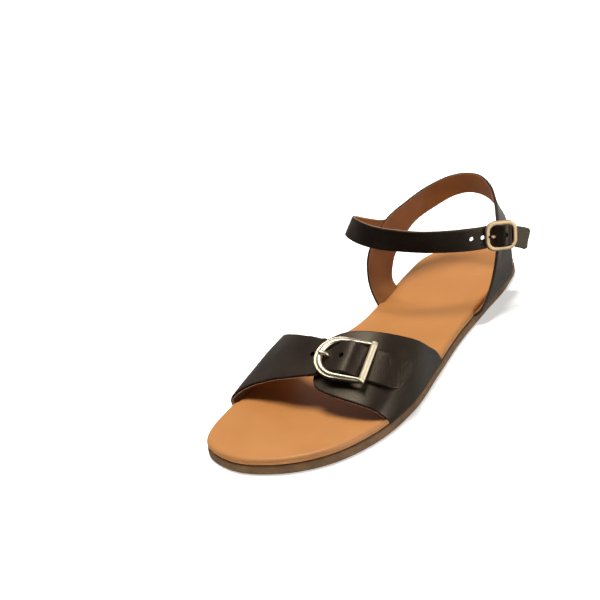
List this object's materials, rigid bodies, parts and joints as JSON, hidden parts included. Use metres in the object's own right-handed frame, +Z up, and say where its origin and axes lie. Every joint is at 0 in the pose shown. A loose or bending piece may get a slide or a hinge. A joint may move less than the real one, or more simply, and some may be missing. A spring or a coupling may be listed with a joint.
{
  "type": "flat sandal",
  "caption": "Flat open-toe sandal for the left foot: a wide buckled strap over the toes, a heel strap with a buckled ankle strap, and a contoured footbed on a thin flat sole.",
  "frame": {"origin": "on the ground, midway between the outermost points in length and in width", "axes": "+Z is up, -Y points to the toe, +Y to the heel and +X to the outer side of the left foot"},
  "size_m": [0.1002, 0.2521, 0.0651],
  "materials": {
    "taupe_rubber": "matt",
    "tan_footbed": "smooth, slightly glossy",
    "dark_leather": "smooth, fine grain, soft sheen",
    "champagne_metal": "polished, pale gold"
  },
  "bodies": {
    "root": {"outsole": "taupe_rubber", "footbed": "tan_footbed", "front_strap_outer": "dark_leather", "front_strap_inner": "dark_leather", "front_buckle_frame": "champagne_metal", "front_buckle_prong": "champagne_metal", "front_buckle_chape": "dark_leather", "heel_strap": "dark_leather", "ankle_buckle_frame": "champagne_metal", "ankle_buckle_prong": "champagne_metal", "ankle_buckle_chape": "dark_leather"}
  },
  "joints": []
}
